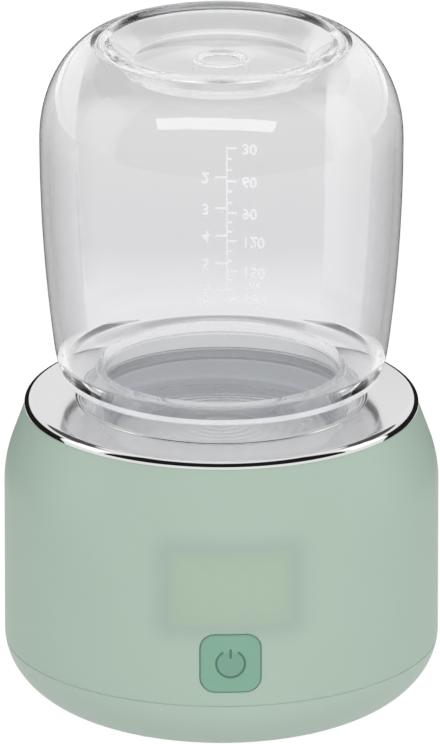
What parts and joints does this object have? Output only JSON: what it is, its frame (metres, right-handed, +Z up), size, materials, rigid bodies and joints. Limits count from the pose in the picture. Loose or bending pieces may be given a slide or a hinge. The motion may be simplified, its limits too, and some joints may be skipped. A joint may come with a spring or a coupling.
{
  "type": "portable bottle warmer",
  "caption": "Round rechargeable bottle warmer with a plated well, a heated steel plate, a lit display, a power button and a clear bottle screwed in neck down.",
  "frame": {"origin": "on the axis of the body, on the surface that the feet stand on", "axes": "+Z up along the axis, -Y out of the front with the button and display, +X to the right seen from the front"},
  "size_m": [0.0904, 0.0908, 0.145],
  "materials": {
    "mint_shell": "fine matte moulded texture",
    "mint_base": "fine matte moulded texture",
    "mint_button": "smooth satin",
    "plated_ring": "bright plated",
    "stainless": "spun brushed",
    "clear_bottle": "clear",
    "milky_adapter": "milky translucent",
    "silicone": "matte translucent silicone",
    "grey_rubber": "matte",
    "foam": "soft foam",
    "felt": "felted insulation",
    "heater_film": "printed heating film",
    "dark_plastic": "matte",
    "frame_plastic": "matte",
    "circuit_board": "solder mask",
    "lead_red": "insulated lead",
    "screw_steel": "plated",
    "tab_nickel": "plain nickel",
    "cell_wrap": "shrink wrapped cell",
    "display_face": "white segments",
    "milky_window": "milky light guide",
    "socket_steel": "plain",
    "plunger_red": "matte"
  },
  "bodies": {
    "warmer": {"outer_shell": "mint_shell", "base_cap": "mint_base", "base_seal": "grey_rubber", "rubber_feet": "grey_rubber", "base_screws": "screw_steel", "top_plate": "plated_ring", "plate_gasket": "grey_rubber", "heater_plate": "stainless", "plate_seal": "silicone", "heater_disc": "heater_film", "insulation_pad": "felt", "temp_sensor": "dark_plastic", "heater_leads": "lead_red", "inner_frame": "frame_plastic", "frame_screws": "screw_steel", "control_board": "circuit_board", "board_screws": "screw_steel", "board_components": "dark_plastic", "board_connector": "frame_plastic", "usb_port": "socket_steel", "display_board": "circuit_board", "display_screws": "screw_steel", "led_display": "display_face", "display_diffuser": "milky_window", "tact_switch": "dark_plastic", "battery_cells": "cell_wrap", "left_cell_holder": "dark_plastic", "right_cell_holder": "dark_plastic", "cell_tabs": "tab_nickel", "battery_leads": "lead_red", "foam_pads": "foam"},
    "button": {"power_button": "mint_button", "switch_plunger": "plunger_red"},
    "adapter": {"adapter_ring": "milky_adapter", "adapter_seal": "silicone"},
    "gasket": {"bottle_gasket": "silicone"},
    "bottle": {"bottle": "clear_bottle"}
  },
  "joints": [
    {"name": "button_press", "type": "slide", "parent": "warmer", "child": "button", "axis": [0, 1, 0], "range_m": [0, 0.0005], "stiffness_N_per_m": 1500},
    {"name": "adapter_lift", "type": "slide", "parent": "warmer", "child": "adapter", "axis": [0, 0, 1], "range_m": [0, 0.025]},
    {"name": "gasket_rise", "type": "slide", "parent": "adapter", "child": "gasket", "axis": [0, 0, 1], "range_m": [0, 0.012]},
    {"name": "bottle_turn", "type": "hinge", "parent": "gasket", "child": "bottle", "pos_m": [0, 0, 0], "axis": [0, 0, 1], "range_deg": [0, 1080]}
  ],
  "couplings": [
    {"joint": "gasket_rise", "follows": "bottle_turn", "m_per_rad": 0.0006366}
  ]
}
